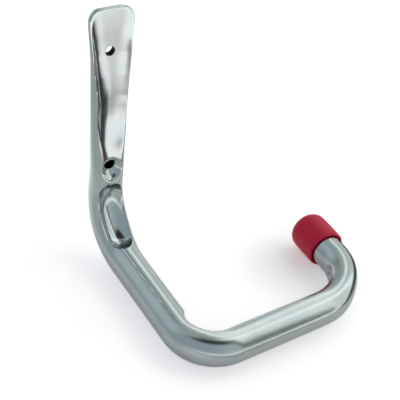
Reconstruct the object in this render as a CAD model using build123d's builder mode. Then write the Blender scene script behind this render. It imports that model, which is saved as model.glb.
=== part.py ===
from build123d import *
from math import cos, radians, sin, tan
import os

# Bicycle wall hook: one bent and pressed steel tube with a push-on end cap.
# Frame: origin on the wall, midway between the two screw holes; +Z up along the leg,
# -Y out of the wall along the arm, +X along the cross arm. Millimetres.

# Tube
tube_radius = 10.0
wall = 1.5

# Centreline, corner to corner
arm_length = 122.0
cross_length = 120.5
tip_length = 63.5
leg_height = 150.0
bend_radii = (43.0, 22.0, 35.0)
cross_turn = 95.0
tip_turn = 85.0

# Screw holes in the leg, measured up from the arm's centreline
lower_hole_height = 51.5
hole_spacing = 72.0
hole_radius = 3.0
countersink_radius = 4.2
countersink_depth = 1.4
countersink_align = (Align.CENTER, Align.CENTER, Align.MIN)

# The leg before its channel is pressed in:
# height, half width, side radius, and how far round the sides reach
leg_stations = (
    (43.0, 10.0, 10.0, 45.0),
    (46.0, 10.0, 10.0, 45.0),
    (60.0, 10.4, 8.85, 65.0),
    (80.0, 10.9, 7.6, 80.0),
    (100.0, 11.5, 6.5, 80.0),
    (125.0, 12.7, 5.2, 80.0),
    (140.0, 13.8, 3.4, 80.0),
    (leg_height, 14.0, 2.0, 80.0),
)
cavity_top = 140.0
top_corner_radius = 7.0
view_size = 300.0

# The channel pressed into the leg's front:
# height, half width at the rims, and the depths of rims and floor from the wall
channel_stations = (
    (lower_hole_height, 7.3, 18.0, 14.0),
    (60.0, 7.6, 16.5, 12.8),
    (70.0, 9.4, 14.7, 10.8),
    (80.0, 10.2, 12.7, 8.6),
    (100.0, 11.0, 10.5, 6.2),
    (125.0, 12.2, 8.1, 4.5),
    (140.0, 13.4, 5.5, 3.3),
    (leg_height + 2.0, 13.8, 3.7, 2.9),
)

# Dimple that the bending press leaves on the inside of each bend
dimple_half_width = 9.8
dimple_rim = 5.5
dimple_floor = -0.5
dimple_spans = ((17.0, 61.0), (8.0, 87.0), (22.0, 74.0))
press_flare = 9.0
press_lean = 3.0
rim_round = 1.2

# End cap
cap_radius = 12.0
cap_length = 30.0
cap_end = 2.5
cap_end_round = 7.0
cap_mouth_round = 0.7

os.makedirs("parts", exist_ok=True)

# Corners of the centreline and the directions of its runs
arm_level = -(lower_hole_height + hole_spacing / 2)
up = Vector(0, 0, 1)
arm_direction = Vector(0, -1, 0)
cross_direction = arm_direction.rotate(Axis.Z, cross_turn)
tip_direction = cross_direction.rotate(Axis.Z, tip_turn)
corner_1 = Vector(0, -tube_radius, arm_level)
corner_2 = corner_1 + arm_direction * arm_length
corner_3 = corner_2 + cross_direction * cross_length
tube_end = corner_3 + tip_direction * tip_length
leg_foot = corner_1 + up * leg_stations[0][0]


def bend_plane(corner, incoming, outgoing, radius):
    """Plane of a bend: origin at its centre, X towards its start, turning towards Y."""
    turn = radians(incoming.get_angle(outgoing))
    start = corner - incoming * (radius * tan(turn / 2))
    axis = incoming.cross(outgoing).normalized()
    outward = incoming.cross(axis).normalized()
    return Plane(origin=start - outward * radius, x_dir=outward, z_dir=axis)


def flat_ring(half_width, side_radius, reach, inset):
    """Four tangent arcs, two sides and a slightly crowned front and back, drawn in by inset."""
    radius = side_radius - inset
    side_centre = half_width - side_radius
    edge_x = side_centre + radius * cos(radians(reach))
    edge_y = radius * sin(radians(reach))
    crown = edge_y + edge_x * tan(radians(90 - reach) / 2)
    middle = -side_radius
    ThreePointArc((-edge_x, middle + edge_y), (0, middle + crown), (edge_x, middle + edge_y))
    ThreePointArc((edge_x, middle + edge_y), (side_centre + radius, middle), (edge_x, middle - edge_y))
    ThreePointArc((edge_x, middle - edge_y), (0, middle - crown), (-edge_x, middle - edge_y))
    ThreePointArc((-edge_x, middle - edge_y), (-side_centre - radius, middle), (-edge_x, middle + edge_y))


def press_outline(half_width, rim, floor, grow, half=False):
    """Closed outline of a press form thickened by grow: a round nose at the floor, flanks past the rims."""
    rise = rim - floor
    radius = (half_width**2 + rise**2) / (2 * rise)
    reach = half_width * (radius + grow) / radius
    nose = floor - grow
    edge = nose + rise * (radius + grow) / radius
    back = edge + press_flare
    TangentArc((0, nose), (reach, edge), tangent=(1, 0))
    if half:
        Polyline((reach, edge), (reach + press_lean, back), (0, back), (0, nose))
    else:
        Polyline((reach, edge), (reach + press_lean, back), (-reach - press_lean, back), (-reach, edge))
        TangentArc((0, nose), (-reach, edge), tangent=(-1, 0))


def leg_blank(inset, top):
    """The flattened leg up to a height, before its channel is pressed in."""
    with BuildPart() as blank:
        for height, half_width, side_radius, reach in leg_stations:
            if height <= top:
                with BuildSketch(Plane.XY.offset(arm_level + height)):
                    with BuildLine():
                        flat_ring(half_width, side_radius, reach, inset)
                    make_face()
        loft()
    return blank.part


def bent_tube(radius):
    """Round bar along the centreline from the leg's foot to the tube's end."""
    with BuildPart() as bar:
        with BuildLine() as centreline:
            FilletPolyline(leg_foot, corner_1, corner_2, corner_3, tube_end, radius=list(bend_radii))
        with BuildSketch(Plane(origin=leg_foot, z_dir=-up)):
            Circle(radius)
        sweep(path=centreline.wires()[0])
    return bar.part


def channel_press(grow):
    """Press form of the leg's channel: a dish round the lower hole, then a trough to the top."""
    with BuildPart() as press:
        for height, half_width, rim, floor in channel_stations:
            section = Plane(origin=(0, 0, arm_level + height), x_dir=(-1, 0, 0), z_dir=(0, 0, 1))
            with BuildSketch(section):
                with BuildLine():
                    press_outline(half_width, rim, floor, grow)
                make_face()
        loft()
        height, half_width, rim, floor = channel_stations[0]
        section = Plane(origin=(0, 0, arm_level + height), x_dir=(-1, 0, 0), z_dir=(0, 0, 1))
        with BuildSketch(section):
            with BuildLine():
                press_outline(half_width, rim, floor, grow, half=True)
            make_face()
        revolve(axis=Axis(section.origin, section.y_dir))
    return press.part


def dimple_press(bend, radius, span, grow):
    """Press form of one bend's dimple: a nose carried round the bend between two round ends."""
    with BuildPart() as press:
        for angle in span:
            outward = bend.x_dir * cos(radians(angle)) + bend.y_dir * sin(radians(angle))
            section = Plane(
                origin=bend.origin + outward * radius, x_dir=bend.z_dir, z_dir=outward.cross(bend.z_dir)
            )
            if angle == span[0]:
                with BuildSketch(section):
                    with BuildLine():
                        press_outline(dimple_half_width, dimple_rim, dimple_floor, grow)
                    make_face()
                revolve(axis=Axis(bend.origin, bend.z_dir), revolution_arc=span[1] - span[0])
            with BuildSketch(section):
                with BuildLine():
                    press_outline(dimple_half_width, dimple_rim, dimple_floor, grow, half=True)
                make_face()
            revolve(axis=Axis(section.origin, section.y_dir))
    return press.part


bends = (
    bend_plane(corner_1, -up, arm_direction, bend_radii[0]),
    bend_plane(corner_2, arm_direction, cross_direction, bend_radii[1]),
    bend_plane(corner_3, cross_direction, tip_direction, bend_radii[2]),
)

# Outer skin: the bent bar and the flattened leg, then everything that the presses push in
with BuildPart() as skin:
    add(bent_tube(tube_radius))
    add(leg_blank(0, leg_height))
    add(channel_press(0), mode=Mode.SUBTRACT)
    for bend, radius, span in zip(bends, bend_radii, dimple_spans):
        add(dimple_press(bend, radius, span, 0), mode=Mode.SUBTRACT)

# Bore: the same forms drawn in by the wall, so the pressed walls keep their thickness
with BuildPart() as bore:
    add(bent_tube(tube_radius - wall))
    add(leg_blank(wall, cavity_top))
    add(channel_press(wall), mode=Mode.SUBTRACT)
    for bend, radius, span in zip(bends, bend_radii, dimple_spans):
        add(dimple_press(bend, radius, span, wall), mode=Mode.SUBTRACT)

# The hook: skin less bore, flat against the wall, with a rounded top and two screw holes
with BuildPart() as hook_tube:
    add(skin.part)
    add(bore.part, mode=Mode.SUBTRACT)
    with BuildSketch(Plane.XZ) as front_view:
        with Locations((0, arm_level + leg_height - view_size / 2)):
            Rectangle(leg_stations[-1][1] * 2, view_size)
        fillet(front_view.vertices().group_by(Axis.Y)[-1], top_corner_radius)
        with Locations((view_size / 2, arm_level + leg_stations[0][0] - view_size / 2)):
            Rectangle(2 * view_size, view_size)
    extrude(amount=view_size, mode=Mode.INTERSECT)
    for height in (lower_hole_height, lower_hole_height + hole_spacing):
        with Locations(Plane(origin=(0, 0, arm_level + height), z_dir=arm_direction)):
            Cylinder(hole_radius, tube_radius * 4, mode=Mode.SUBTRACT)
    lower_floor = channel_stations[0][3]
    with Locations(Plane(origin=(0, -lower_floor, arm_level + lower_hole_height), z_dir=arm_direction)):
        Cone(hole_radius, countersink_radius, countersink_depth, align=countersink_align, mode=Mode.SUBTRACT)
hook_tube.part.label = "hook_tube"

# End cap: a soft cup pushed over the tube's end until it stops
cap_mouth = tube_end + tip_direction * (cap_end - cap_length)
with BuildPart() as end_cap:
    with BuildSketch(Plane(origin=cap_mouth, x_dir=up, z_dir=up.cross(tip_direction))) as cap_section:
        with BuildLine():
            Polyline(
                (tube_radius, 0),
                (cap_radius, 0),
                (cap_radius, cap_length),
                (0, cap_length),
                (0, cap_length - cap_end),
                (tube_radius, cap_length - cap_end),
                close=True,
            )
        make_face()
        outer_side = cap_section.vertices().group_by(Axis.X)[-1].sort_by(Axis.Y)
        fillet(outer_side[0], cap_mouth_round)
        outer_side = cap_section.vertices().group_by(Axis.X)[-1].sort_by(Axis.Y)
        fillet(outer_side[-1], cap_end_round)
    revolve(axis=Axis(cap_mouth, tip_direction))
end_cap.part.label = "end_cap"

for piece in (hook_tube, end_cap):
    print(piece.part.label, piece.part.volume, piece.part.is_valid, len(piece.part.solids()), piece.part.bounding_box())
    export_step(piece.part, "parts/" + piece.part.label + ".step")
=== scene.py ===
# %% [markdown]
# # A pressed and bent bicycle hook
#
# This wall hook is one length of zinc-plated steel tube. A press flattens one end into a leg with
# two screw holes, three bends lead the tube round the wheel, and a red cap closes the free end.
# The lesson loads the measured model as a fixed frame and gives each piece its surface and finish.

# %% Load the frame
from collections import namedtuple

import bmesh
import bpy
import numpy as np
from mathutils import Matrix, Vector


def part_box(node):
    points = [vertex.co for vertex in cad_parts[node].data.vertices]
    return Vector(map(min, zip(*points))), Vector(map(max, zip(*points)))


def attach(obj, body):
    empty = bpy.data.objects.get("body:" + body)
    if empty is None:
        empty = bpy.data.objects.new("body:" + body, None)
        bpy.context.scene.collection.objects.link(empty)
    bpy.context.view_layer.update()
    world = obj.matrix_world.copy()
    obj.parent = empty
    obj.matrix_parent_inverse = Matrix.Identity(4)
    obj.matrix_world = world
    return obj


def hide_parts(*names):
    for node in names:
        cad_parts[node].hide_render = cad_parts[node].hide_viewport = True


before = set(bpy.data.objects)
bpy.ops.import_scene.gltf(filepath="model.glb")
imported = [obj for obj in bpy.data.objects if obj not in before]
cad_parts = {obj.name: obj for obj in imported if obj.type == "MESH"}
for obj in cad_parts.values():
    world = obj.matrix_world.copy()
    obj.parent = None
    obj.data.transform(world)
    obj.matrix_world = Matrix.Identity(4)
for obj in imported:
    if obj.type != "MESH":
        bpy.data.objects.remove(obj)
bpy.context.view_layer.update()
hook_low, hook_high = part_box("hook_tube")
cap_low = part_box("end_cap")[0]
print("pieces in the frame:", sorted(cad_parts))

# %% [markdown]
# ## The camera
#
# A camera is three things here: where it stands, which way it looks, and its lens. The picture was
# taken from the front left, from above, with a short telephoto lens, and turned a little about its
# own axis. The place is worked out from two angles and a distance to a point on the arm's level.

# %% Place the camera
MM = 0.001
tube_radius = 10.0
arm_level = hook_low.z / MM + tube_radius

camera_azimuth = np.radians(-34.21)
camera_elevation = np.radians(37.91)
camera_roll = 0.1362
camera_distance = 770.6
camera_lens = 108.0
look_at = np.array([70.54, -8.17, arm_level])

toward_camera = np.array([
    np.sin(camera_azimuth) * np.cos(camera_elevation),
    -np.cos(camera_azimuth) * np.cos(camera_elevation),
    np.sin(camera_elevation),
])
level_right = np.array([np.cos(camera_azimuth), np.sin(camera_azimuth), 0.0])
level_up = np.cross(toward_camera, level_right)
camera_right = np.cos(camera_roll) * level_right + np.sin(camera_roll) * level_up
camera_up = np.cos(camera_roll) * level_up - np.sin(camera_roll) * level_right

camera_data = bpy.data.cameras.new("camera")
camera_data.lens = camera_lens
camera = bpy.data.objects.new("camera", camera_data)
bpy.context.scene.collection.objects.link(camera)
turned = Matrix(np.stack([camera_right, camera_up, toward_camera], axis=1).tolist()).to_4x4()
place = Matrix.Translation((look_at + toward_camera * camera_distance) * MM)
camera.matrix_world = place @ turned
bpy.context.scene.camera = camera
print("camera stands at", [round(c, 3) for c in camera.matrix_world.translation])

# %% [markdown]
# ## The line of the tube
#
# A bent tube is easiest to describe by walking along it: straight on, round a bend, straight on.
# Each step of the walk keeps a small frame of three directions: the way ahead, the front, which is
# the wall hook's front on the leg and its top on the arm, and the side. Only the bends turn them.

# %% Lengths from corner to corner, and bends
wall = 1.5
arm_length = 122.0
cross_length = 120.5
tip_length = 63.5
leg_height = hook_high.z / MM - arm_level
bend_radii = (36.0, 22.0, 35.0)
bend_turns = (90.0, 95.0, 85.0)
foot_height = 46.0
print("leg", round(leg_height, 1), "arm", arm_length, "cross arm", cross_length, "tip", tip_length)

# %% A walker that keeps its directions
# A bend's hub, the directions from it to its start and on along the tube, its axis and radius, and
# the row where it starts
Bend = namedtuple("Bend", "hub start ahead axis radius row")


def spin(vectors, axis, angles):
    """Vectors turned about an axis: the part along it stays, the rest swings by each angle."""
    angles = np.asarray(angles)[:, None]
    along = np.dot(vectors, axis) * axis
    flat = vectors - along
    return along + flat * np.cos(angles) + np.cross(axis, flat) * np.sin(angles)


class Walk:
    """Rows of the tube: a centre and the directions ahead, front and side for each one."""

    def __init__(self, centre, ahead, front):
        self.centre = np.array([centre], float)
        self.ahead = np.array([ahead], float)
        self.front = np.array([front], float)
        self.bends = []

    def add(self, centre, ahead, front):
        """New rows after the last one."""
        self.centre = np.concatenate([self.centre, centre])
        self.ahead = np.concatenate([self.ahead, ahead])
        self.front = np.concatenate([self.front, front])

    def straight(self, length, pitch):
        """Equal steps straight ahead."""
        count = max(1, round(length / pitch))
        steps = np.linspace(0, length, count + 1)[1:, None]
        here = np.ones((count, 1))
        self.add(self.centre[-1] + steps * self.ahead[-1], here * self.ahead[-1], here * self.front[-1])

    def bend(self, inner, radius, turn, pitch):
        """Equal steps round a circle whose centre is a radius away on the inner side."""
        axis = np.cross(self.ahead[-1], inner)
        start, hub = self.centre[-1], self.centre[-1] + inner * radius
        self.bends.append(Bend(hub, -inner, self.ahead[-1], axis, radius, len(self.centre) - 1))
        angles = np.radians(np.linspace(0, turn, round(np.radians(turn) * radius / pitch) + 1)[1:])
        self.add(
            hub + spin(start - hub, axis, angles),
            spin(self.ahead[-1], axis, angles),
            spin(self.front[-1], axis, angles),
        )

    def side(self):
        """The direction square to the front and to the way ahead, for each row."""
        return np.cross(self.front, self.ahead)


# %% Walk along the centreline


def tube_walk(pitch):
    """The whole centreline below the leg's foot, from the first bend to the tube's end."""
    tangents = [r * np.tan(np.radians(t) / 2) for r, t in zip(bend_radii, bend_turns)]
    foot = (0.0, -tube_radius, arm_level + foot_height)
    walk = Walk(foot, (0, 0, -1), (0, -1, 0))
    walk.straight(foot_height - tangents[0], pitch)
    walk.bend(walk.front[-1], bend_radii[0], bend_turns[0], pitch)
    walk.straight(arm_length - tangents[0] - tangents[1], pitch)
    walk.bend(walk.side()[-1], bend_radii[1], bend_turns[1], pitch)
    walk.straight(cross_length - tangents[1] - tangents[2], pitch)
    walk.bend(walk.side()[-1], bend_radii[2], bend_turns[2], pitch)
    walk.straight(tip_length - tangents[2], pitch)
    return walk


outside_pitch = 1.0
bore_pitch = 2.5
print("rows below the leg's foot:", len(tube_walk(outside_pitch).centre))

# %% [markdown]
# ## The leg's section
#
# Towards its top the round tube is squeezed flat and grows wider. Its ring is drawn as four arcs
# that meet smoothly: a small one at each side and a wide, shallow one at the front and the back.
# A short table gives the sizes at a few heights, and a smooth curve through them fills the rest.

# %% Sizes of the squeezed tube
leg_stations = np.array([
    # height, half width, side radius, reach of the sides in degrees
    (36, 10.0, 10.0, 45), (46, 10.0, 10.0, 45), (60, 10.4, 8.85, 65), (80, 10.9, 7.6, 80),
    (100, 11.5, 6.5, 80), (125, 12.7, 5.2, 80), (140, 13.8, 3.4, 80), (150, 14.0, 2.0, 80),
])
arc_columns = (56, 24, 24, 24)
columns_round = sum(arc_columns)
print("points in each ring:", columns_round)

# %% A smooth curve through a table


def glide(table, x):
    """A smooth curve through a table's rows: cubic pieces whose slopes come from their neighbours."""
    known, values = table[:, 0], table[:, 1:]
    slopes = np.gradient(values, known, axis=0)
    x = np.clip(x, known[0], known[-1])
    i = np.clip(np.searchsorted(known, x) - 1, 0, len(known) - 2)
    gap = (known[i + 1] - known[i])[:, None]
    t = (x - known[i])[:, None] / gap
    rise = values[i + 1] - values[i]
    ease = t * t * (3 - 2 * t)
    bulge_in = t * (1 - t) ** 2 * (slopes[i] * gap)
    bulge_out = t * t * (t - 1) * (slopes[i + 1] * gap)
    return values[i] + rise * ease + bulge_in + bulge_out


# %% Ring of the squeezed tube


def ring(half_width, side_radius, reach, inset):
    """Side and front distances from the ring's middle, arcs in the order front, left, back, right."""
    half_width, side_radius, reach = (v[:, None] for v in (half_width, side_radius, np.radians(reach)))
    radius = side_radius - inset
    side_centre = half_width - side_radius
    edge_x = side_centre + radius * np.cos(reach)
    edge_y = radius * np.sin(reach)
    crown_radius = edge_x / np.cos(reach)
    crown_centre = edge_y - crown_radius * np.sin(reach)
    f, s, b = (np.arange(n) / n for n in arc_columns[:3])
    front = reach + f * (np.pi - 2 * reach)
    left = np.pi - reach + s * 2 * reach
    back = np.pi + reach + b * (np.pi - 2 * reach)
    right = -reach + s * 2 * reach
    x = [crown_radius * np.cos(front), -side_centre + radius * np.cos(left),
         crown_radius * np.cos(back), side_centre + radius * np.cos(right)]
    y = [crown_centre + crown_radius * np.sin(front), radius * np.sin(left),
         -crown_centre + crown_radius * np.sin(back), radius * np.sin(right)]
    return np.concatenate(x, axis=1), np.concatenate(y, axis=1)


# %% [markdown]
# ## What the presses push in
#
# Each press has a round nose. Where it meets the tube the metal folds inwards and leaves a rounded
# rim. A surface that is pushed in is the lower one of two: the tube, or the face of the press. A
# soft minimum takes the lower one and rounds the edge between them by a chosen width.

# %% Sizes of the leg's channel
channel_stations = np.array([
    # height, half width at the rims, depth of rims and of floor from the wall
    (51.5, 7.0, 18.6, 16.4), (60, 7.2, 16.8, 14.0), (70, 9.2, 14.7, 11.0), (80, 10.2, 12.7, 8.6),
    (100, 11.0, 10.5, 6.2), (125, 12.2, 7.9, 3.9), (140, 13.2, 5.5, 3.3), (152, 13.6, 4.2, 3.0),
])
# The dish round the lower hole: half width, depth of its rim and of its floor
lower_dish = (6.2, 17.0, 13.4)
# The channel's middle wanders to the right half-way up, and its floor is flatter near the top
channel_drift = np.array([(51.5, 0.0), (70, 0.8), (95, 2.2), (115, 0.8), (130, 0.0), (152, 0.0)])
channel_flat = np.array([(51.5, 0.0), (90, 0.0), (108, 0.24), (122, 0.64), (152, 0.64)])
print("channel from", channel_stations[0, 0], "to", channel_stations[-1, 0], "mm above the arm")

# %% Sizes of the dimples
dimples = (
    # start and end in degrees, half width at the rims, rims and floor from the centreline
    (9.0, 61.0, 7.7, 7.6, 3.0),
    (8.0, 50.0, 9.8, 5.5, -0.5),
    (30.0, 56.0, 5.7, 9.0, 4.5),
)
print("dimples turn through", [end - start for start, end, *_ in dimples], "degrees")

# %% A soft minimum, and the nose of a press
flank_slope = 3.0


def soft_min(a, b, width):
    """The lower of two heights, with the crossing rounded over a width."""
    share = np.clip(0.5 + 0.5 * (b - a) / width, 0, 1)
    return b * (1 - share) + a * share - width * share * (1 - share)


def nose(distance, half_width, rim, floor, grow, slope=flank_slope):
    """Height of a press at a distance from its middle: an arc up to the rim, then a steep flank."""
    rise = rim - floor
    bare = (half_width**2 + rise**2) / (2 * rise)
    radius = bare + grow
    reach = half_width * radius / bare
    inside = np.minimum(distance, reach)
    arc = floor - grow + radius - np.sqrt(radius**2 - inside**2)
    return arc + slope * np.maximum(distance - reach, 0)


# %% Depth of the channel
# The flanks lean further out near the lower hole, where the metal was pushed in less sharply
lean_start = 62.0
lean_length = 10.0
lean_most = 2.0
dish_slope = 1.6
dish_rim_width = 1.2


def channel_depth(x, height, grow):
    """Depth from the wall: a trough that follows its table, softly joined to the lower hole's dish."""
    bottom = channel_stations[0, 0]
    sizes = glide(channel_stations, height.ravel()).reshape(*height.shape, 3)
    below = np.maximum(bottom - height, 0)
    drift = np.interp(height, channel_drift[:, 0], channel_drift[:, 1])
    flat = np.interp(height, channel_flat[:, 0], channel_flat[:, 1])
    distance = np.hypot(x - drift, below)
    share = np.minimum(distance / sizes[..., 0], 1)
    distance = distance * (1 - flat * (1 - share**2))
    slope = flank_slope - lean_most * np.clip((lean_start - height) / lean_length, 0, 1)
    trough = nose(distance, sizes[..., 0], sizes[..., 1], sizes[..., 2], grow, slope)
    dish = nose(np.hypot(x, height - bottom), *lower_dish, grow, dish_slope)
    return soft_min(trough, dish, dish_rim_width)


# %% Where a bend's press stops
above_tube = 6.0
halvings = 26


def dimple_cut(points, centres, inner, bend, dimple, grow):
    """Distances from the centreline towards a bend's hub: a point's own, and where the press stops it.

    The press is a nose carried round the bend's hub between two angles, with a round end at each.
    A point is clear of it while the nose is higher than the point's depth, so halving the gap
    between a clear place and a blocked one finds the face.
    """
    hub, start, ahead, axis, radius, _ = bend
    first, last = np.radians(dimple[:2])
    home = np.einsum("rcx,rx->rc", points - centres[:, None], inner)
    low = np.full(home.shape, -tube_radius)
    high = np.full(home.shape, tube_radius + above_tube)
    for _ in range(halvings):
        middle = (low + high) / 2
        moved = points + (middle - home)[..., None] * inner[:, None] - hub
        p, q, u = moved @ start, moved @ ahead, moved @ axis
        angle = np.clip(np.arctan2(q, p), first, last)
        depth = radius - (p * np.cos(angle) + q * np.sin(angle))
        past_end = q * np.cos(angle) - p * np.sin(angle)
        clear = nose(np.hypot(u, past_end), *dimple[2:], grow) > depth
        low, high = np.where(clear, middle, low), np.where(clear, high, middle)
    return home, (low + high) / 2


# %% [markdown]
# ## The tube's surfaces
#
# The same function makes the outside and the bore: the bore is the outside drawn in by the wall.
# Rows run from the leg's top down and out to the tube's end, columns run round the tube. The
# surface is a grid of points, so every step is worked out for the whole tube at once.

# %% Rows of the leg
corner_radius = 7.0
corner_rows = 15
edge_round = 0.9
edge_pinch = 0.6
plate_middle = 1.6


def leg_rows(top, inset):
    """Rows of the leg from a height down to its foot: its rings, drawn in to a rounded outline on top.

    Above the corners' start a ring's half width shrinks as a circle does, and within the last
    edge_round of height its depth shrinks towards the plate's middle in the same way.
    """
    arc = np.radians(np.linspace(90, 0, corner_rows))
    outline = leg_height - corner_radius + corner_radius * np.sin(arc)
    top_row = leg_height - corner_radius - outside_pitch
    rest = np.arange(top_row, foot_height + outside_pitch / 2, -outside_pitch)
    heights = np.concatenate([outline, rest])
    heights = heights[heights <= top]
    sizes = glide(leg_stations, heights)
    x, y = ring(sizes[:, 0], sizes[:, 1], sizes[:, 2], inset)
    depth = np.maximum(y + sizes[:, 1][:, None], inset)
    shoulder = np.clip(heights - (leg_height - corner_radius), 0, corner_radius)
    narrow = corner_radius - np.sqrt(corner_radius**2 - shoulder**2)
    x = x * (1 - narrow / sizes[:, 0])[:, None]
    if inset == 0:
        rounding = np.clip((heights - leg_height + edge_round) / edge_round, 0, 1)
        pinch = 1 - edge_pinch * (1 - np.sqrt(1 - rounding**2))
        depth = plate_middle + (depth - plate_middle) * pinch[:, None]
    return x, depth, np.repeat(heights[:, None], x.shape[1], axis=1)


# %% What bending does to a round tube
# How much wider across, and how much flatter on the outer side, each bend is at its middle
bend_swell = ((1.3, 0.0), (0.8, 0.6), (0.9, 2.4))
swell_length = 0.36


def swell(points, walk):
    """Each bend grows wider across and flatter outside, by a bell curve along its length."""
    steps = np.linalg.norm(np.diff(walk.centre, axis=0), axis=1)
    along = np.concatenate([[0], np.cumsum(steps)])
    for bend, turn, (wider, flatter) in zip(walk.bends, bend_turns, bend_swell):
        length = np.radians(turn) * bend.radius
        past_middle = along - along[bend.row] - length / 2
        share = np.exp(-((past_middle / (swell_length * length)) ** 2))[:, None]
        offset = points - walk.centre[:, None]
        inner = np.cross(bend.axis, walk.ahead)
        inward = np.einsum("rcx,rx->rc", offset, inner)
        sideways = offset @ bend.axis
        points = points + (share * sideways / tube_radius * wider)[..., None] * bend.axis
        shift = share * np.maximum(-inward, 0) / tube_radius * flatter
        points = points + shift[..., None] * inner[:, None]
    return points


# %% The weld seam
# Column and depth of the seam, where it starts and ends past the first two bends' starts, over what
# lengths it fades, and the sizes of the waves in it
seam_column = 38
seam_depth = 0.22
seam_half_width = 0.8
seam_start = 46.0
seam_end = 4.0
seam_fades = (6.0, 30.0)
seam_waves = ((0.9, 17.0), (0.5, 6.1))


def groove(points, walk, inward):
    """A shallow groove along the arm's top: a bell curve across, about a line that wanders a little."""
    rows = np.arange(len(points))
    step = np.linalg.norm(walk.centre[1] - walk.centre[0])
    first = walk.bends[0].row + seam_start / step
    last = walk.bends[1].row + seam_end / step
    fade_in, fade_out = (length / step for length in seam_fades)
    fade = np.clip((rows - first) / fade_in, 0, 1) * np.clip((last - rows) / fade_out, 0, 1)
    column = np.arange(points.shape[1])
    wander = seam_column + sum(far * np.sin(rows / slow) for far, slow in seam_waves)
    across = np.exp(-(((column - wander[:, None]) / seam_half_width) ** 2))
    return points + (seam_depth * fade[:, None] * across)[..., None] * inward


# %% Outside and bore as grids
rim_width = 2.2
channel_rim_width = 1.8
round_reach = 45.0
back_skin = 0.3
channel_end = 30.0
press_reach = 20.0
bore_top = 140.0


def press_channel(depth, x, height, inset):
    """Depth from the wall after the channel's press has come down."""
    return soft_min(depth, channel_depth(x, height, inset), channel_rim_width)


def tube_surface(inset, pitch, top):
    """Grid of points of the tube drawn in by inset, and each row's distance along it from the foot."""
    x, depth, height = leg_rows(top, inset)
    height_of_row = height[:, 0]
    pressed = press_channel(depth, x, height, inset)
    pressed = np.where(depth > inset + back_skin, pressed, depth)
    leg = np.stack([x, -pressed, height + arm_level], axis=-1)
    walk = tube_walk(pitch)
    count = len(walk.centre)
    ones = np.ones(count)
    across, out = ring(ones * tube_radius, ones * tube_radius, ones * round_reach, inset)
    side = walk.side()
    sideways = across[..., None] * side[:, None]
    points = walk.centre[:, None] + sideways + out[..., None] * walk.front[:, None]
    height = points[..., 2] - arm_level
    points = swell(points, walk)
    near = walk.centre[:, 2] - arm_level > channel_end
    depth = -points[near, :, 1]
    pressed = press_channel(depth, points[near, :, 0], height[near], inset)
    points[near, :, 1] = -np.where(out[near] > 0, pressed, depth)
    for number, (bend, dimple) in enumerate(zip(walk.bends, dimples)):
        inner = walk.front if number == 0 else side
        length = np.radians(bend_turns[number]) * bend.radius
        first = bend.row - int(press_reach / pitch)
        last = bend.row + int((length + press_reach) / pitch)
        rows = slice(max(first, 0), min(last, count))
        home, cut = dimple_cut(points[rows], walk.centre[rows], inner[rows], bend, dimple, inset)
        shift = soft_min(home, cut, rim_width) - home
        points[rows] += shift[..., None] * inner[rows][:, None]
    if inset == 0:
        inward = walk.centre[:, None] - points
        inward = inward / np.linalg.norm(inward, axis=-1, keepdims=True)
        points = groove(points, walk, inward)
    steps = np.linalg.norm(np.diff(walk.centre, axis=0), axis=1)
    along = np.concatenate([foot_height - height_of_row, [0], np.cumsum(steps)])
    return np.concatenate([leg, points]), along


outside, outside_along = tube_surface(0.0, outside_pitch, leg_height)
bore, bore_along = tube_surface(wall, bore_pitch, bore_top)
print("outside grid", outside.shape, "bore grid", bore.shape)

# %% [markdown]
# ## From grid to mesh
#
# A real tube is one skin: the outside, the bore, and the thin ring of metal that joins them at the
# end. The two grids are laid one after the other, the bore backwards, so the same quads that join
# neighbouring rows also close the tube's end. A UV map keeps the place on the unrolled tube, because
# brushing and drawing marks follow a bent tube and not the axes of the scene.

# %% Grid to mesh


def grid_mesh(name, grid, along=None):
    """One closed mesh from rows of rings: quads between rows, and one face over each end.

    along gives each row's distance along the tube, for textures that follow it: the UV map holds
    the share of a turn and that distance.
    """
    rows, columns = grid.shape[:2]
    index = np.arange(rows * columns).reshape(rows, columns)
    around = np.roll(index, -1, axis=1)
    quads = np.stack([index[:-1], around[:-1], around[1:], index[1:]], axis=-1).reshape(-1, 4)
    ends = [index[0][::-1].tolist(), index[-1].tolist()]
    mesh = bpy.data.meshes.new(name)
    mesh.from_pydata((grid.reshape(-1, 3) * MM).tolist(), [], quads.tolist() + ends)
    solid = bmesh.new()
    solid.from_mesh(mesh)
    if solid.calc_volume(signed=True) < 0:
        bmesh.ops.reverse_faces(solid, faces=solid.faces)
    solid.to_mesh(mesh)
    solid.free()
    if along is not None:
        # The last column meets the first one again, and its share of a turn there is 1, not 0
        corners = np.zeros(len(mesh.loops), int)
        mesh.loops.foreach_get("vertex_index", corners)
        row, column = corners // columns, corners % columns
        around_quad = column[: 4 * len(quads)].reshape(-1, 4)
        wraps = around_quad.max(axis=1, keepdims=True) == columns - 1
        around_quad[(around_quad == 0) & wraps] = columns
        unrolled = np.stack([column / columns, along[row] * MM], axis=-1)
        mesh.uv_layers.new(name="unrolled").data.foreach_set("uv", unrolled.ravel())
    mesh.polygons.foreach_set("use_smooth", np.ones(len(mesh.polygons), bool))
    mesh.update()
    piece = bpy.data.objects.new(name, mesh)
    bpy.context.scene.collection.objects.link(piece)
    return piece


tube = grid_mesh(
    "pressed_tube",
    np.concatenate([outside, bore[::-1]]),
    np.concatenate([outside_along, bore_along[::-1]]),
)

# %% [markdown]
# ## The screw holes
#
# The leg is held by two screws. Its holes are drilled after pressing, so they are cut out of the
# finished tube with turned cutters. The lower one is countersunk into the dish, for a flat head.

# %% Turned cutters
lower_hole = channel_stations[0, 0]
hole_spacing = 72.0
hole_heights = (lower_hole, lower_hole + hole_spacing)
hole_radius = 3.0
sink_radius = 4.2
sink_depth = 1.4
dish_floor = lower_dish[2]
behind_wall = -5.0
before_leg = 30.0
cutter_sides = 64
print("holes at", hole_heights, "mm above the arm")


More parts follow.
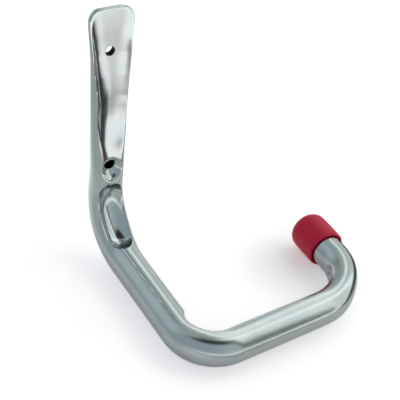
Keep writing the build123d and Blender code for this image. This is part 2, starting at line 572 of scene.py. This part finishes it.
def drill(sizes, height):
    """A closed turned cutter along the wall's normal: pairs of depth from the wall and radius."""
    angles = np.linspace(0, 2 * np.pi, cutter_sides, endpoint=False)
    depth, radius = np.array(sizes).T[:, :, None]
    across = radius * np.cos(angles)
    up = radius * np.sin(angles) + height + arm_level
    return grid_mesh("cutter", np.stack([across, -depth + 0 * across, up], axis=-1))


# %% Drill the screw holes


def cut_away(piece, cutter):
    """The piece less the cutter, written back as its mesh."""
    cut = piece.modifiers.new("cut", "BOOLEAN")
    cut.operation = "DIFFERENCE"
    cut.solver = "EXACT"
    cut.object = cutter
    graph = bpy.context.evaluated_depsgraph_get()
    piece.data = bpy.data.meshes.new_from_object(piece.evaluated_get(graph))
    piece.modifiers.clear()
    bpy.data.objects.remove(cutter)


straight = [(behind_wall, hole_radius), (before_leg, hole_radius)]
sunk = [
    (behind_wall, hole_radius),
    (dish_floor, hole_radius),
    (dish_floor + sink_depth, sink_radius),
    (before_leg, sink_radius),
]
cut_away(tube, drill(sunk, hole_heights[0]))
cut_away(tube, drill(straight, hole_heights[1]))
tube_crease = 40.0
tube.data.set_sharp_from_angle(angle=np.radians(tube_crease))
print("drilled:", len(tube.data.vertices), "vertices")

# %% Put the tube in the frame
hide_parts("hook_tube")
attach(tube, "root")
print("tube triangles:", sum(len(p.vertices) - 2 for p in tube.data.polygons))

# %% [markdown]
# ## The cap
#
# The cap is made as if turned: one profile, carried once round the tube's last direction. It starts
# on the cup's floor, comes out over a soft lip, and ends in a large round and a slightly domed face.

# %% Profile of the cap
cap_radius = 12.0
cap_length = 25.5
cap_end = 2.5
lip_round = 1.0
end_round = 6.6
barrel_ends = (3.0, 17.0)
belly = 0.12
belly_length = 20.0
dome_rises = (0.15, 0.2)
dome_radius = 2.5
pinhole = 0.6
inner_end = cap_length - cap_end


def quarter(middle, level, radius, start, end, count):
    """Points of an arc in the profile: distance along the cap and radius, between two angles."""
    angles = np.radians(np.linspace(start, end, count))
    return np.stack([middle + radius * np.cos(angles), level + radius * np.sin(angles)], axis=-1)


cup = [(inner_end, pinhole), (inner_end, tube_radius), (lip_round, tube_radius)]
lip = quarter(lip_round, cap_radius - lip_round, lip_round, 180, 90, 9)
along = np.linspace(*barrel_ends, 8)
barrel = np.stack([along, cap_radius + belly * np.sin(np.pi * along / belly_length)], axis=-1)
shoulder = quarter(cap_length - end_round, cap_radius - end_round, end_round, 90, 0, 15)
dome = [(cap_length + dome_rises[0], dome_radius), (cap_length + dome_rises[1], pinhole / 2)]
profile = np.concatenate([cup, lip, barrel, shoulder, dome])
print("cap's profile:", len(profile), "points")

# %% Turn the cap
cap_sides = 96
tip = tube_walk(outside_pitch)
axis = tip.ahead[-1]
mouth = tip.centre[-1] + axis * (cap_end - cap_length)
turns = np.linspace(0, 2 * np.pi, cap_sides, endpoint=False)[:, None]
outward = tip.front[-1] * np.cos(turns) + tip.side()[-1] * np.sin(turns)
distance, radius = profile.T[:, :, None, None]
cap = grid_mesh("end_cap_turned", mouth + axis * distance + outward * radius)
cap_crease = 50.0
cap.data.set_sharp_from_angle(angle=np.radians(cap_crease))
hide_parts("end_cap")
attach(cap, "root")
print("cap triangles:", sum(len(p.vertices) - 2 for p in cap.data.polygons))

# %% [markdown]
# ## Shader maths written as Python
#
# A material is a small program made of nodes. Placing each node by hand hides the formula, so one
# class wraps a node's output, and plus, minus and times on it add the Math nodes. Every other node
# comes from one method, which takes the node's type, its settings and what goes into its sockets.

# %% A class that wraps a socket


class Wire:
    """An output of a node, which can be added, subtracted and multiplied like a number."""

    def __init__(self, shader, socket):
        self.shader = shader
        self.socket = socket

    def maths(self, operation, *values):
        """A Math node on some values."""
        return self.shader.node("ShaderNodeMath", {"operation": operation}, dict(enumerate(values)))

    def __add__(self, other):
        return self.maths("ADD", self, other)

    def __mul__(self, other):
        return self.maths("MULTIPLY", self, other)

    def __sub__(self, other):
        return self.maths("SUBTRACT", self, other)

    def __rsub__(self, other):
        return self.maths("SUBTRACT", other, self)

    __radd__ = __add__
    __rmul__ = __mul__

    def ramp(self, low, high):
        """0 below low, 1 above high, and a smooth step between them."""
        settings = {"interpolation_type": "SMOOTHSTEP"}
        return self.shader.node("ShaderNodeMapRange", settings, {0: self, 1: low, 2: high})


# %% A class that adds nodes


class Shader:
    """A node tree whose node method adds a node, sets it up and returns one of its outputs."""

    def __init__(self, owner):
        owner.use_nodes = True
        self.tree = owner.node_tree
        self.tree.nodes.clear()

    def node(self, kind, settings=None, inputs=None, output=0):
        """A node of a kind, with its settings made first and its inputs given or linked after."""
        made = self.tree.nodes.new(kind)
        for name, value in (settings or {}).items():
            setattr(made, name, value)
        for name, value in (inputs or {}).items():
            if isinstance(value, Wire):
                self.tree.links.new(value.socket, made.inputs[name])
            else:
                made.inputs[name].default_value = value
        return Wire(self, made.outputs[output])

    def mix(self, factor, first, second):
        """A colour between two others."""
        settings = {"data_type": "RGBA"}
        return self.node("ShaderNodeMix", settings, {0: factor, 6: first, 7: second}, output=2)

    def noise(self, vector, scale, detail):
        """A cloudy pattern between 0 and 1."""
        return self.node("ShaderNodeTexNoise", {}, {"Vector": vector, "Scale": scale, "Detail": detail})

    def glow(self, colour, strength):
        """A surface that gives light of its own."""
        return self.node("ShaderNodeEmission", {}, {"Color": colour, "Strength": strength})

    def finish(self, surface, kind="ShaderNodeOutputMaterial"):
        """The last node, which takes the finished surface."""
        output = self.tree.nodes.new(kind)
        self.tree.links.new(surface.socket, output.inputs["Surface"])


def dress(piece, material):
    """The piece in one material and no other."""
    piece.data.materials.clear()
    piece.data.materials.append(material)


# %% [markdown]
# ## Zinc plate
#
# Bright zinc is a thin coat of metal: fully metallic, a little blue-grey, and smoother where the
# press has ironed it, on the leg, than along the bent arms. Its look is nearly all reflection, so the
# base colour hardly varies, and fine noise in roughness and relief breaks the reflections up. The
# noise is stretched along the tube by reading the UV map, which is rolled up again into a thin
# cylinder so that the pattern has no seam.

# %% Patterns that follow the tube
zinc = bpy.data.materials.new("zinc_plate")
shader = Shader(zinc)
place_on = shader.node("ShaderNodeTexCoord", output="Object")
unrolled = shader.node("ShaderNodeUVMap", {"uv_map": "unrolled"})
share_round = shader.node("ShaderNodeSeparateXYZ", {}, {0: unrolled}, output=0)
length_along = shader.node("ShaderNodeSeparateXYZ", {}, {0: unrolled}, output=1)
turn = share_round * (2 * np.pi)
streak_stretch = 0.035
drawn = shader.node("ShaderNodeCombineXYZ", {}, {
    0: turn.maths("COSINE", turn) * (tube_radius * MM),
    1: turn.maths("SINE", turn) * (tube_radius * MM),
    2: length_along * streak_stretch,
})
cloud = shader.noise(place_on, 60.0, 3.0)
grain = shader.noise(place_on, 900.0, 2.0)
streak = shader.noise(drawn, 700.0, 2.0)
worn = length_along.ramp(0.04, 0.12)
print("zinc so far:", len(zinc.node_tree.nodes), "nodes")

# %% Colour, with painted shade on the walls of the holes
across = shader.node("ShaderNodeSeparateXYZ", {}, {0: place_on}, output=0)
upward = shader.node("ShaderNodeSeparateXYZ", {}, {0: place_on}, output=2)
pale_zinc = (0.44, 0.475, 0.465, 1)
deep_zinc = (0.41, 0.45, 0.45, 1)
painted_hole_shade = (0.02, 0.02, 0.02, 1)
tone = shader.mix(cloud.ramp(0.35, 0.65), deep_zinc, pale_zinc)
# Within each hole's radius the zinc gives way to near black: painted shade on the hole's walls
for hole_height in hole_heights:
    level = upward - float((hole_height + arm_level) * MM)
    squared = across * across + level * level
    from_middle = squared.maths("SQRT", squared)
    outside_hole = from_middle.ramp((hole_radius + 0.02) * MM, (hole_radius + 0.25) * MM)
    tone = shader.mix(outside_hole, painted_hole_shade, tone)

# %% Finish of the zinc
relief = cloud * 0.25 + grain * 0.02 + streak * 0.05
bump = shader.node("ShaderNodeBump", {}, {"Height": relief, "Distance": 0.0002, "Strength": 0.4})
metal = shader.node("ShaderNodeBsdfPrincipled", {}, {
    "Base Color": tone,
    "Metallic": 1.0,
    "Roughness": grain * 0.04 + streak * 0.06 + worn * 0.05 + 0.13,
    "Normal": bump,
})
shader.finish(metal)
dress(tube, zinc)

# %% [markdown]
# ## The red cap
#
# The cap is soft plastic, coloured all through, with a low gloss. A wide, weak highlight and a very
# fine grain are enough, because the real one has no print and no texture that can be seen.

# %% Red plastic
red = bpy.data.materials.new("red_cap")
shader = Shader(red)
place_on = shader.node("ShaderNodeTexCoord", output="Object")
grain = shader.noise(place_on, 1500.0, 2.0)
bump = shader.node("ShaderNodeBump", {}, {"Height": grain, "Distance": 0.0001, "Strength": 0.3})
plastic = shader.node("ShaderNodeBsdfPrincipled", {}, {
    "Base Color": (0.52, 0.005, 0.036, 1),
    "Roughness": 0.45,
    "Specular IOR Level": 0.25,
    "Normal": bump,
})
shader.finish(plastic)
dress(cap, red)

# %% [markdown]
# ## The floor
#
# The hook lies on a white sheet that runs off into white. Polished metal shows what lies round it as
# clearly as its own shape, so the sheet does two jobs: the camera sees it white with a soft shadow,
# made a little deeper beside the cap by a painted shadow, and the metal's reflections see it dimmer
# near the hook, with a dark card to the right of it. The card draws the dark line down the left of
# the leg's channel and the dark outer edge of the last bend. Light Path tells the two kinds of ray apart.

# %% A sheet of paper
floor_reach = 6.0
floor_level = min(hook_low.z, cap_low.z)
sides = np.array([(-1, -1, 0), (1, -1, 0), (1, 1, 0), (-1, 1, 0)])
corners = sides * floor_reach + (0, 0, floor_level)
floor_mesh = bpy.data.meshes.new("floor")
floor_mesh.from_pydata(corners.tolist(), [], [(0, 1, 2, 3)])
floor = bpy.data.objects.new("floor", floor_mesh)
bpy.context.scene.collection.objects.link(floor)
print("floor at", round(floor_level, 4))

# %% Masks on the sheet
paper = bpy.data.materials.new("paper")
shader = Shader(paper)
spot = shader.node("ShaderNodeTexCoord", output="Object")
to_right = shader.node("ShaderNodeSeparateXYZ", {}, {0: spot}, output=0)
to_wall = shader.node("ShaderNodeSeparateXYZ", {}, {0: spot}, output=1)
distance_from = {"operation": "DISTANCE"}
under_hook = (0.06, -0.07, float(floor_level))
beside_cap = (0.098, -0.072, float(floor_level))
away = shader.node("ShaderNodeVectorMath", distance_from, {0: spot, 1: under_hook}, output="Value")
from_painted_shadow = shader.node("ShaderNodeVectorMath", distance_from, {0: spot, 1: beside_cap}, output="Value")
# beyond runs from a little before the cross arm back past the wall, and left is its left part. The
# card starts on the same line and ends a little behind the wall. The strip lies before the hook.
beyond = to_wall.ramp(-0.235, -0.19)
left = (1 - to_right.ramp(-0.11, -0.02)) * to_wall.ramp(-0.24, -0.15)
card = to_right.ramp(0.138, 0.165) * beyond * (1 - to_wall.ramp(0.10, 0.15))
strip = to_wall.ramp(-0.33, -0.27) * (1 - to_wall.ramp(-0.185, -0.16))
strip = strip * (1 - to_right.ramp(0.12, 0.16))

# %% White to the camera, shaded to the metal
camera_ray = shader.node("ShaderNodeLightPath", output="Is Camera Ray")
glossy_ray = shader.node("ShaderNodeLightPath", output="Is Glossy Ray")
dark = (card + left * 0.33 + strip * 0.55) * glossy_ray
faintness = away.ramp(0.09, 0.17) * (1.15 - beyond * 0.62 - left * 0.35) + 0.14
# The camera's glow is weaker near the cap: a painted shadow, deeper than the real one on the matte part
glow_with_painted_shadow = from_painted_shadow.ramp(0.0, 0.045) * 0.2 + 0.27
matte = shader.node("ShaderNodeBsdfDiffuse", {}, {"Color": (0.9, 0.86, 0.87, 1)})
seen = shader.node("ShaderNodeAddShader", {}, {0: matte, 1: shader.glow((1, 0.96, 0.965, 1), glow_with_painted_shadow)})
felt = shader.node("ShaderNodeAddShader", {}, {0: matte, 1: shader.glow((1.0, 0.96, 0.95, 1), faintness)})
sheet = shader.node("ShaderNodeMixShader", {}, {0: camera_ray, 1: felt, 2: seen})
night = shader.glow((0.03, 0.03, 0.035, 1), 1.0)
shader.finish(shader.node("ShaderNodeMixShader", {}, {0: dark, 1: sheet, 2: night}))
dress(floor, paper)

# %% [markdown]
# ## The studio
#
# The light comes from a large round soft box on the right, brighter towards its rim and in one
# stripe, in a pale room with a dark ceiling. The world is made of such patches, each one a cone about
# a direction: the cosine of the angle to its middle is one Vector Math node, and a ramp between two
# cosines is its soft edge. It is all light and no lamp, so the metal has no hard spots.

# %% Directions in the room
world = bpy.data.worlds.new("studio")
bpy.context.scene.world = world
shader = Shader(world)
look = shader.node("ShaderNodeTexCoord", output="Generated")


def direction(azimuth, elevation):
    """Unit vector to a compass direction: 0 is the wall, 90 the right."""
    a, e = np.radians(azimuth), np.radians(elevation)
    return (float(np.sin(a) * np.cos(e)), float(np.cos(a) * np.cos(e)), float(np.sin(e)))


def facing(azimuth, elevation):
    """Cosine of the angle between where the ray goes and a direction."""
    values = {0: look, 1: direction(azimuth, elevation)}
    return shader.node("ShaderNodeVectorMath", {"operation": "DOT_PRODUCT"}, values, output="Value")


def cosine(degrees):
    """Cosine of an angle in degrees, as a plain number for a socket."""
    return float(np.cos(np.radians(degrees)))


def sine(degrees):
    """Sine of an elevation in degrees: how far up a ray of that elevation points."""
    return float(np.sin(np.radians(degrees)))


def patch(azimuth, elevation, edge, core):
    """1 within core degrees of a direction, fading to 0 at edge degrees."""
    return facing(azimuth, elevation).ramp(cosine(edge), cosine(core))


# %% The room
upwards = facing(0, 90)
frontwards = facing(178, 0)
room = shader.mix(facing(100, 0).ramp(-0.5, 0.75), (0.48, 0.58, 0.63, 1), (0.74, 0.81, 0.80, 1))
# Two greyer patches over the wall and a paler one to their left
room = shader.mix(patch(-10, 15, 34, 26), room, (0.50, 0.56, 0.55, 1))
room = shader.mix(patch(-12, 26, 16, 6), room, (0.30, 0.33, 0.32, 1))
room = shader.mix(patch(-40, 36, 28, 14), room, (0.68, 0.80, 0.84, 1))
# The ceiling, darker straight above, and black in a band over the camera
room = shader.mix(upwards.ramp(sine(55), sine(72)), room, (0.56, 0.60, 0.57, 1))
room = shader.mix(upwards.ramp(sine(76), sine(86)), room, (0.30, 0.34, 0.33, 1))
band = upwards.ramp(sine(54), sine(61)) * (1 - upwards.ramp(sine(79), sine(86)))
band = band * facing(-160, 0).ramp(0.03, 0.13)
room = shader.mix(band, room, (0.025, 0.028, 0.028, 1))

# %% The soft box
disc = facing(83, 13)
surround = disc.ramp(cosine(64), cosine(59)) * frontwards.ramp(0.25, 0.5)
room = shader.mix(surround, room, (0.04, 0.045, 0.045, 1))
inside = disc.ramp(cosine(53.5), cosine(50))
hollow = disc.ramp(cosine(49), cosine(41))
stripe = frontwards.ramp(-0.22, -0.05) * (1 - frontwards.ramp(0.0, 0.22))
pale = shader.mix(frontwards.ramp(-0.4, 0.3), (0.86, 0.92, 0.90, 1), (1.10, 1.17, 1.16, 1))
pale = shader.mix(stripe, pale, (1.75, 1.95, 1.98, 1))
rim_low, rim_high = (1.35, 1.33, 1.30, 1), (2.1, 2.15, 2.1, 1)
rim_light = shader.mix(upwards.ramp(sine(0), sine(42)), rim_low, rim_high)
sky = shader.mix(inside, room, shader.mix(hollow, rim_light, pale))
# One small bright patch above the box
sky = shader.mix(patch(85, 69, 7, 3), sky, (1.7, 1.7, 1.62, 1))
light = shader.node("ShaderNodeBackground", {}, {"Color": sky, "Strength": 1.0})
shader.finish(light, "ShaderNodeOutputWorld")
bpy.context.scene.view_settings.view_transform = "Standard"
print("studio:", len(world.node_tree.nodes), "nodes")
